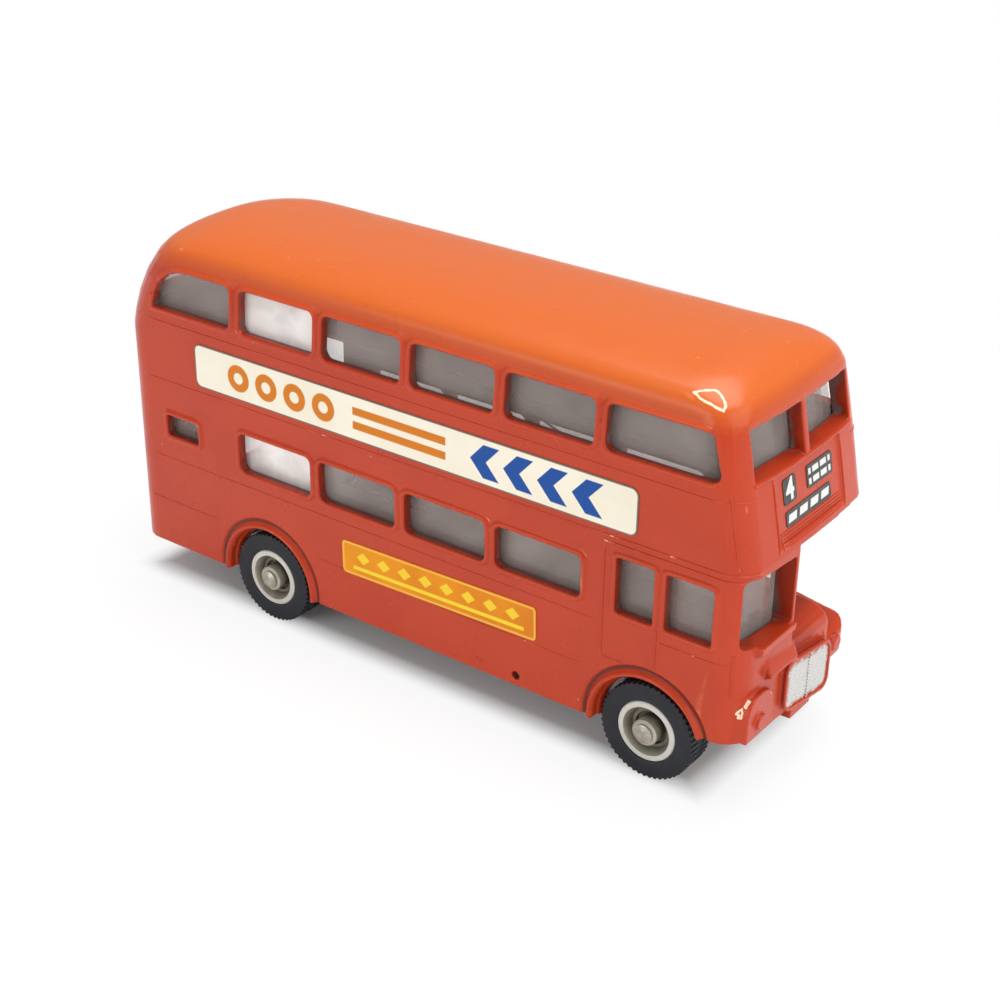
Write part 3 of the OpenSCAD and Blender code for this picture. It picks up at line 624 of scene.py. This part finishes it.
# Painted shade: a dark line along the groove round each arch flange, on the outer walls above the skirt.
groove_shade = spread(tree, off_middle(tree, axle_distance(tree, place), groove_radius / 1000),
                     0.00014, 0.00030, 0.85, 0)
groove_foot = spread(tree, place[0], 0.0413, 0.0417, 0.0058, 0.0101)
groove_shade = times(tree, groove_shade, calc(tree, "GREATER_THAN", place[2], groove_foot))
groove_shade = times(tree, groove_shade, calc(tree, "GREATER_THAN", off_middle(tree, place[1]), 0.0155))
paint = tint(tree, groove_shade, paint, (0.06, 0.010, 0.007))
shake = tree.nodes.new("ShaderNodeTexNoise")
shake.inputs["Scale"].default_value = 1500
tree.links.new(where, shake.inputs["Vector"])
shift = vector_calc(tree, "SUBTRACT", shake.outputs["Color"], (0.5, 0.5, 0.5))
ragged = vector_calc(tree, "ADD", where, vector_calc(tree, "SCALE", shift, None, 0.00035))
bare = times(tree, spread(tree, form.outputs["Pointiness"], 0.63, 0.68, 0, 1),
             spread(tree, surface_grain(tree, 700, 5), 0.60, 0.66, 0, 1))
for chip, core, rim in ((roof_chip, 0.00012, 0.00022), (wing_chip, 0.00010, 0.00018),
                        (lamp_chip, 0.00010, 0.00018)):
    path = [on_casting(*spot) for spot in chip]
    bare = calc(tree, "MAXIMUM", bare, spread(tree, chip_distance(tree, ragged, path), core, rim, 1, 0))
specks = tree.nodes.new("ShaderNodeTexVoronoi")
specks.inputs["Scale"].default_value = 330
tree.links.new(where, specks.inputs["Vector"])
speck = times(tree, spread(tree, specks.outputs["Distance"], 0.035, 0.055, 1, 0),
              spread(tree, surface_grain(tree, 60, 1), 0.56, 0.58, 0, 0.6))
paint = tint(tree, speck, paint, (0.80, 0.42, 0.25))
paint = tint(tree, bare, paint, (0.86, 0.70, 0.50))
over_bonnet = times(tree, calc(tree, "GREATER_THAN", place[0], 0.0376),
                    calc(tree, "GREATER_THAN", place[1], -0.0042))
over_bonnet = times(tree, over_bonnet, calc(tree, "LESS_THAN", place[2], 0.0362))
over_bonnet = times(tree, over_bonnet, calc(tree, "GREATER_THAN", place[2], 0.0150))
# The inside is bare zinc, and its dark tone is partly painted shade: a dark zinc colour laid where the
# casting is sheltered.
inside = times(tree, spread(tree, sheltered, 0.62, 0.78, 0, 1), calc(tree, "SUBTRACT", 1.0, over_bonnet))
zinc = tint(tree, spread(tree, surface_grain(tree, 260, 4), 0.3, 0.7, 0, 1),
            (0.11, 0.10, 0.09), (0.19, 0.175, 0.16))
tree.links.new(tint(tree, inside, paint, zinc), skin.inputs["Base Color"])
dull = spread(tree, surface_grain(tree, 150, 4), 0.3, 0.7, 0.24, 0.36)
dull = calc(tree, "ADD", dull, times(tree, inside, 0.3))
dull = calc(tree, "ADD", dull, times(tree, bare, 0.15))
tree.links.new(dull, skin.inputs["Roughness"])
skin.inputs["Specular IOR Level"].default_value = 0.28
skin.inputs["Coat Weight"].default_value = 0.06
skin.inputs["Coat Roughness"].default_value = 0.12
orange_peel = calc(tree, "ADD", times(tree, surface_grain(tree, 2600, 2), 0.25),
                   times(tree, surface_grain(tree, 900, 2), 0.75))
relief(tree, skin, orange_peel, 0.12, 0.0001)
body.data.materials.clear()
body.data.materials.append(enamel)
body.data.polygons.foreach_set("material_index", [0] * len(body.data.polygons))
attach(body, "chassis")
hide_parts("body_shell")
body_lines.data.materials.clear()
body_lines.data.materials.append(enamel)
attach(body_lines, "chassis")


# Radiator: the raised grille of the casting, with a bar down its middle. It is brushed over with
# silver paint that stops ragged at the frame.
def edge_distance(tree, u, v, half_u, half_v, corner):
    du = calc(tree, "MAXIMUM", calc(tree, "SUBTRACT", off_middle(tree, u), half_u - corner), 0.0)
    dv = calc(tree, "MAXIMUM", calc(tree, "SUBTRACT", off_middle(tree, v), half_v - corner), 0.0)
    return disc_distance(tree, du, dv)


radiator = rounded_plate((12.3, 7.4), 1.7)
radiator.name = "radiator_face"
bpy.ops.mesh.inset(thickness=0.0003, depth=0.00008)
bpy.ops.mesh.inset(thickness=0.0008, depth=0.00006)
bpy.ops.object.mode_set(mode="OBJECT")
shape_by(radiator, "SOLIDIFY", thickness=0.0004, offset=-1)
stand_at_front(radiator, (56.45, radiator_y, radiator_z))
grille_bar = cast_bar((56.25, 0.5, 10.5), (56.77, 0.9, 17.4), 0.1)
join_onto(radiator, [grille_bar])
drop_to_nearside(radiator)
bpy.ops.object.shade_smooth_by_angle(angle=math.radians(35))
row_pitch = 0.00050
column_pitch = 0.00042
silver, tree, skin = new_finish("silver_brushwork")
place = axes_of(tree, surface_place(tree))
rows = calc(tree, "SINE", times(tree, place[2], 2 * math.pi / row_pitch))
columns = calc(tree, "SINE", times(tree, place[1], 2 * math.pi / column_pitch))
grille = times(tree, rows, columns)
across = calc(tree, "SUBTRACT", place[1], radiator_y / 1000)
level = calc(tree, "ADD", calc(tree, "SUBTRACT", place[2], radiator_z / 1000),
             times(tree, across, radiator_drop))
edge = edge_distance(tree, across, level, 0.0061, 0.00365, 0.0017)
missed = times(tree, spread(tree, edge, 0.0007, 0.0014, 0, 1),
               spread(tree, surface_grain(tree, 1300, 4), 0.42, 0.50, 0, 1))
thinly = spread(tree, surface_grain(tree, 1100, 4), 0.66, 0.74, 0, 0.5)
# The silver is darker along the grid's troughs: painted shade between the bars of the grille.
shade = tint(tree, spread(tree, grille, -0.6, 0.4, 0, 1), (0.44, 0.43, 0.42), (0.70, 0.69, 0.67))
shade = tint(tree, calc(tree, "MAXIMUM", missed, thinly), shade, (0.42, 0.08, 0.035))
tree.links.new(shade, skin.inputs["Base Color"])
skin.inputs["Metallic"].default_value = 0.25
tree.links.new(spread(tree, surface_grain(tree, 800), 0.3, 0.7, 0.42, 0.6), skin.inputs["Roughness"])
relief(tree, skin, grille, 0.5, 0.00008)
radiator.data.materials.append(silver)
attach(radiator, "chassis")


# Glazing: two clear plastic mouldings, one for each deck, that sit inside the casting behind the
# windows. They are a little hazy and smeared with age, and one window of each deck carries a white
# patch of painted reflection.
def dress(names, finish):
    for name in names:
        nodes[name].data.materials.clear()
        nodes[name].data.materials.append(finish)


pane, tree, skin = new_finish("clear_pane")
smears = surface_grain(tree, 190, 4)
place = axes_of(tree, surface_place(tree))
# Painted reflection: a white, less clear patch of glare on one offside window of each deck.
glare_patch = times(tree, spread(tree, place[0], -0.0340, -0.0315, 0, 1),
               spread(tree, place[0], -0.0182, -0.0164, 1, 0))
glare_patch = times(tree, glare_patch, spread(tree, place[1], -0.012, -0.010, 1, 0))
glare_patch = times(tree, glare_patch, spread(tree, surface_grain(tree, 110, 3), 0.30, 0.55, 0.55, 1))
haze = tint(tree, spread(tree, smears, 0.35, 0.7, 0, 1), (0.46, 0.39, 0.36), (0.57, 0.50, 0.47))
tree.links.new(tint(tree, glare_patch, haze, (0.98, 0.95, 0.92)), skin.inputs["Base Color"])
tree.links.new(spread(tree, smears, 0.3, 0.7, 0.05, 0.16), skin.inputs["Roughness"])
body_of_haze = spread(tree, surface_grain(tree, 120, 3), 0.3, 0.7, 0.27, 0.36)
body_of_haze = calc(tree, "ADD", body_of_haze, times(tree, glare_patch, 0.55), True)
tree.links.new(body_of_haze, skin.inputs["Alpha"])
skin.inputs["Specular IOR Level"].default_value = 0.6
relief(tree, skin, surface_grain(tree, 60, 1), 0.10, 0.0002)
dress(("upper_glazing", "lower_glazing"), pane)


# Cream labels: printed paper pasted between the decks, rounded at the corners, with a fine dark
# line round the edge. The print is a plain pattern of orange rings and bars and blue chevrons.
def sheet_place(tree, turn_deg, centre):
    turned = tree.nodes.new("ShaderNodeMapping")
    turned.vector_type = "TEXTURE"
    turned.inputs["Location"].default_value = centre
    turned.inputs["Rotation"].default_value = (0, math.radians(turn_deg), 0)
    tree.links.new(surface_place(tree), turned.inputs["Vector"])
    return axes_of(tree, vector_calc(tree, "SCALE", turned.outputs["Vector"], None, 1000.0))


def under(tree, value, limit, soft=0.06):
    return spread(tree, value, limit - soft, limit + soft, 1, 0)


def every(tree, value, pitch):
    share = calc(tree, "FRACT", calc(tree, "DIVIDE", value, pitch))
    return calc(tree, "SUBTRACT", times(tree, share, pitch), pitch / 2)


def within(tree, value, low, high):
    return times(tree, calc(tree, "GREATER_THAN", value, low), calc(tree, "LESS_THAN", value, high))


def paper_surface(tree, skin, low, high):
    skin.inputs["Specular IOR Level"].default_value = 0.2
    tree.links.new(spread(tree, surface_grain(tree, 500), 0.3, 0.7, low, high), skin.inputs["Roughness"])
    relief(tree, skin, surface_grain(tree, 3200, 3), 0.08, 0.00005)


motif_pitch = 5.6
cream, tree, skin = new_finish("cream_label")
sheet = sheet_place(tree, 0, (-0.00095, 0, 0.040))
u = sheet[0]
v = sheet[2]
tall = off_middle(tree, v)
print_colour = tint(tree, spread(tree, surface_grain(tree, 90, 4), 0.35, 0.7, 0, 1),
                    (0.88, 0.82, 0.68), (0.82, 0.755, 0.61))
slanted = calc(tree, "SUBTRACT", u, times(tree, tall, 0.9))
arms = times(tree, under(tree, off_middle(tree, every(tree, slanted, motif_pitch)), 1.35),
             under(tree, tall, 2.5))
chevrons = times(tree, arms, within(tree, slanted, 11.2, 33.6))
from_ring = disc_distance(tree, every(tree, u, motif_pitch), v)
ring_run = within(tree, u, -33.6, -11.2)
rings = calc(tree, "SUBTRACT", times(tree, under(tree, from_ring, 2.15), ring_run),
             times(tree, under(tree, from_ring, 0.9), ring_run), True)
bars = times(tree, under(tree, off_middle(tree, tall, 1.1), 0.62), within(tree, u, -8.4, 8.4))
print_colour = tint(tree, calc(tree, "MAXIMUM", rings, bars), print_colour, (0.62, 0.185, 0.008))
print_colour = tint(tree, chevrons, print_colour, (0.006, 0.07, 0.31))
edge = edge_distance(tree, u, v, 39.8, 3.5, 1.2)
print_colour = tint(tree, spread(tree, edge, 0.95, 1.02, 0, 0.85), print_colour, (0.06, 0.03, 0.02))
tree.links.new(print_colour, skin.inputs["Base Color"])
paper_surface(tree, skin, 0.34, 0.5)
dress(("offside_label", "nearside_label"), cream)

# Orange labels: smaller paper labels pasted on the lower panels, a little out of level. The print
# is a yellow border, a stripe and a row of diamonds.
orange, tree, skin = new_finish("orange_label")
sheet = sheet_place(tree, -1.4, (0.00565, 0, 0.0173))
u = sheet[0]
v = sheet[2]
print_colour = tint(tree, spread(tree, u, -17, 17, 0, 1), (0.78, 0.29, 0.003), (0.74, 0.24, 0.002))
print_colour = tint(tree, spread(tree, surface_grain(tree, 160, 4), 0.4, 0.75, 0, 0.5),
                    print_colour, (0.58, 0.15, 0.006))
edge = edge_distance(tree, u, v, 17.7, 2.7, 0.7)
border = times(tree, spread(tree, edge, 0.28, 0.34, 0, 1), spread(tree, edge, 0.56, 0.62, 1, 0))
print_run = within(tree, u, -15.6, 15.6)
stripe = times(tree, under(tree, off_middle(tree, v, -1.35), 0.30, 0.05), print_run)
diamond = calc(tree, "ADD", calc(tree, "DIVIDE", off_middle(tree, every(tree, u, 3.9)), 1.25),
               calc(tree, "DIVIDE", off_middle(tree, v, 0.5), 0.98))
diamonds = times(tree, under(tree, diamond, 1.0), print_run)
print_colour = tint(tree, calc(tree, "MAXIMUM", stripe, times(tree, diamonds, 0.9)),
                    print_colour, (0.86, 0.62, 0.03))
print_colour = tint(tree, times(tree, border, 0.85), print_colour, (0.84, 0.50, 0.08))
tree.links.new(print_colour, skin.inputs["Base Color"])
paper_surface(tree, skin, 0.36, 0.52)
dress(("offside_plate", "nearside_plate"), orange)

# Blinds: three dark paper labels pasted on the raked front panel. White bars stand for lines of
# print, and the number is a plain figure.
for name in ("number_blind", "route_blind", "destination_blind"):
    low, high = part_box(name)
    blind_paper, tree, skin = new_finish(name + "_paper")
    sheet = sheet_place(tree, 0, tuple((low + high) / 2))
    w = sheet[1]
    v = sheet[2]
    print_colour = tint(tree, spread(tree, surface_grain(tree, 700, 4), 0.35, 0.7, 0, 1),
                        (0.022, 0.024, 0.022), (0.055, 0.056, 0.052))
    margin = 0.45
    reach = (high.y - low.y) * 500 - margin
    bars = None
    if name == "route_blind":
        bars = times(tree, under(tree, off_middle(tree, off_middle(tree, v), 0.68), 0.40, 0.05),
                     under(tree, off_middle(tree, every(tree, w, 2.1)), 0.82, 0.05))
    if name == "destination_blind":
        slanted = calc(tree, "SUBTRACT", w, times(tree, v, 0.3))
        bars = times(tree, under(tree, off_middle(tree, v), 0.52, 0.05),
                     under(tree, off_middle(tree, every(tree, slanted, 2.9)), 1.05, 0.05))
    if bars is not None:
        bars = times(tree, bars, within(tree, w, -reach, reach))
        print_colour = tint(tree, bars, print_colour, (0.72, 0.72, 0.69))
    tree.links.new(print_colour, skin.inputs["Base Color"])
    tree.links.new(spread(tree, surface_grain(tree, 500), 0.3, 0.7, 0.38, 0.52), skin.inputs["Roughness"])
    dress((name,), blind_paper)
low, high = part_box("number_blind")
bpy.ops.object.text_add()
figure = bpy.context.object
figure.data.body = "4"
figure.data.align_x = "CENTER"
figure.data.align_y = "CENTER"
figure.data.size = 0.0041
figure.data.offset = 0.00012
figure.data.extrude = 0.00002
bpy.ops.object.convert(target="MESH")
figure.name = "route_figure"
rake = math.radians(11.5)
on_rake = Matrix(((0, -math.sin(rake), math.cos(rake), 0), (1, 0, 0, 0),
                  (0, math.cos(rake), math.sin(rake), 0), (0, 0, 0, 1)))
figure.matrix_world = Matrix.Translation((low + high) / 2 + Vector((0.00007, 0, 0))) @ on_rake
settle(figure)
white_print, tree, skin = new_finish("white_print")
tree.links.new(tint(tree, surface_grain(tree, 900, 3), (0.80, 0.80, 0.77), (0.66, 0.66, 0.63)),
               skin.inputs["Base Color"])
skin.inputs["Roughness"].default_value = 0.45
figure.data.materials.append(white_print)
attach(figure, "chassis")

# Tyres: moulded rubber rings with a block tread, stretched over the hubs. One is shaped from a
# drum, the sides are set in and the blocks pulled out of the tread, and the other three are copies.
tread_steps = 104
tread_base = 0.00710
tread_height = 0.0002
groove_half = 0.0006
bpy.ops.mesh.primitive_cylinder_add(vertices=tread_steps, radius=tread_base, depth=0.0049)
tyre = bpy.context.object
bpy.ops.object.mode_set(mode="EDIT")
for cut in (-groove_half, groove_half):
    bpy.ops.mesh.select_all(action="SELECT")
    bpy.ops.mesh.bisect(plane_co=(0, 0, cut), plane_no=(0, 0, 1))
bpy.ops.mesh.select_all(action="DESELECT")
bpy.ops.mesh.select_mode(type="FACE")
bpy.ops.object.mode_set(mode="OBJECT")
for face in tyre.data.polygons:
    face.select = abs(face.normal.z) > 0.9
bpy.ops.object.mode_set(mode="EDIT")
for inward, outward in ((0.0007, 0.00008), (0.0009, 0.00007), (0.0009, -0.00015)):
    bpy.ops.mesh.inset(thickness=inward, depth=outward)
bpy.ops.mesh.delete(type="FACE")
bpy.ops.mesh.select_mode(type="EDGE")
bpy.ops.mesh.select_non_manifold()
bpy.ops.mesh.bridge_edge_loops()
bpy.ops.mesh.select_all(action="DESELECT")
bpy.ops.mesh.select_mode(type="FACE")
bpy.ops.object.mode_set(mode="OBJECT")
for face in tyre.data.polygons:
    x, y, z = face.center
    step = int((math.atan2(y, x) + math.pi) / (2 * math.pi) * tread_steps)
    on_tread = abs(face.normal.z) < 0.1 and math.hypot(x, y) > tread_base - 0.0002
    in_row = abs(z) > groove_half + 0.0001
    row = 0 if z > 0 else 1
    face.select = on_tread and in_row and (step + row) % 2 == 0
bpy.ops.object.mode_set(mode="EDIT")
bpy.ops.mesh.extrude_faces_move(TRANSFORM_OT_shrink_fatten={"value": tread_height})
bpy.ops.mesh.select_all(action="SELECT")
bpy.ops.mesh.normals_make_consistent(inside=False)
bpy.ops.object.mode_set(mode="OBJECT")
shape_by(tyre, "BEVEL", width=0.00009, segments=2, limit_method="ANGLE", angle_limit=math.radians(30))
bpy.ops.object.shade_smooth_by_angle(angle=math.radians(40))
rubber, tree, skin = new_finish("tyre_rubber")
dust = spread(tree, surface_grain(tree, 330, 5), 0.45, 0.75, 0, 1)
form = tree.nodes.new("ShaderNodeNewGeometry")
colour = tint(tree, dust, (0.011, 0.013, 0.018), (0.023, 0.025, 0.031))
scuffed = spread(tree, form.outputs["Pointiness"], 0.52, 0.60, 0, 0.5)
tree.links.new(tint(tree, scuffed, colour, (0.055, 0.056, 0.062)), skin.inputs["Base Color"])
tree.links.new(spread(tree, dust, 0, 1, 0.5, 0.7), skin.inputs["Roughness"])
skin.inputs["Specular IOR Level"].default_value = 0.3
relief(tree, skin, surface_grain(tree, 2400, 3), 0.2, 0.00008)
tyre.data.materials.append(rubber)
for end, x, tread_turn in (("front", front_axle_x, 0.14), ("rear", rear_axle_x, 0.035)):
    for side, y in (("offside", -13.4), ("nearside", 13.4)):
        ring = bpy.data.objects.new(f"{end}_{side}_rubber", tyre.data.copy())
        bpy.context.scene.collection.objects.link(ring)
        ring.rotation_euler = (math.pi / 2, tread_turn, 0)
        ring.location = (x / 1000, y / 1000, axle_z / 1000)
        settle(ring)
        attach(ring, f"{end}_{side}_wheel")
        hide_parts(f"{end}_{side}_tyre")
bpy.data.objects.remove(tyre)

# Hubs: turned metal wheel centres that run free on the axles. Each has a bright rim, and the dish
# round the boss is painted dark as shade.
hub_metal, tree, skin = new_finish("turned_hub")
place = axes_of(tree, surface_place(tree))
reach = times(tree, axle_distance(tree, place), 1000.0)
outward = times(tree, off_middle(tree, place[1]), 1000.0)
# Painted shade: the dish inside the rim darkens towards the inner face.
dish_shade = times(tree, spread(tree, outward, 14.2, 15.75, 1, 0), spread(tree, reach, 3.75, 3.95, 1, 0))
dish_shade = times(tree, dish_shade, spread(tree, surface_grain(tree, 420, 4), 0.2, 0.7, 0.75, 1))
metal = tint(tree, spread(tree, surface_grain(tree, 700, 4), 0.3, 0.7, 0, 1),
             (0.42, 0.39, 0.31), (0.52, 0.49, 0.41))
bright_rim = tint(tree, surface_grain(tree, 600, 4), (0.52, 0.51, 0.46), (0.68, 0.67, 0.62))
metal = tint(tree, spread(tree, reach, 3.68, 3.76, 0, 1), metal, bright_rim)
tree.links.new(tint(tree, dish_shade, metal, (0.042, 0.037, 0.019)), skin.inputs["Base Color"])
skin.inputs["Metallic"].default_value = 0.55
tree.links.new(spread(tree, surface_grain(tree, 800), 0.3, 0.7, 0.34, 0.5), skin.inputs["Roughness"])
relief(tree, skin, calc(tree, "SINE", times(tree, reach, 46.0)), 0.10, 0.00004)
dress(("front_offside_hub", "front_nearside_hub", "rear_offside_hub", "rear_nearside_hub"), hub_metal)

# Axles: drawn steel rods that turn in the lugs of the base plate. Their ends are peened over the
# hubs.
axle_steel, tree, skin = new_finish("axle_steel")
tree.links.new(tint(tree, spread(tree, surface_grain(tree, 900, 4), 0.35, 0.7, 0, 1),
                    (0.46, 0.44, 0.38), (0.28, 0.26, 0.21)), skin.inputs["Base Color"])
skin.inputs["Metallic"].default_value = 0.8
tree.links.new(spread(tree, surface_grain(tree, 700), 0.3, 0.7, 0.32, 0.5), skin.inputs["Roughness"])
relief(tree, skin, surface_grain(tree, 1500, 3), 0.3, 0.00008)
dress(("front_axle", "rear_axle"), axle_steel)

# Base plate and rivets: a floor pressed from tin, with fine scratches along it, closes the casting
# from below. Two rivets through it are peened on the posts of the casting.
tin, tree, skin = new_finish("pressed_tin")
drawn = tree.nodes.new("ShaderNodeMapping")
drawn.inputs["Scale"].default_value = (60, 1400, 400)
tree.links.new(surface_place(tree), drawn.inputs["Vector"])
scratches = tree.nodes.new("ShaderNodeTexNoise")
scratches.inputs["Scale"].default_value = 1
scratches.inputs["Detail"].default_value = 4
tree.links.new(drawn.outputs["Vector"], scratches.inputs["Vector"])
stain = spread(tree, surface_grain(tree, 130, 5), 0.4, 0.7, 0, 1)
tree.links.new(tint(tree, stain, (0.30, 0.30, 0.31), (0.19, 0.185, 0.18)), skin.inputs["Base Color"])
skin.inputs["Metallic"].default_value = 0.85
tree.links.new(spread(tree, scratches.outputs["Fac"], 0.3, 0.7, 0.32, 0.55), skin.inputs["Roughness"])
relief(tree, skin, scratches.outputs["Fac"], 0.15, 0.00005)
dress(("base_plate",), tin)
rivet_metal, tree, skin = new_finish("rivet_metal")
tree.links.new(tint(tree, surface_grain(tree, 900, 4), (0.58, 0.58, 0.58), (0.40, 0.40, 0.40)),
               skin.inputs["Base Color"])
skin.inputs["Metallic"].default_value = 0.85
tree.links.new(spread(tree, surface_grain(tree, 600), 0.3, 0.7, 0.34, 0.52), skin.inputs["Roughness"])
dress(("front_rivet", "rear_rivet"), rivet_metal)

bpy.context.view_layer.update()
low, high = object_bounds()
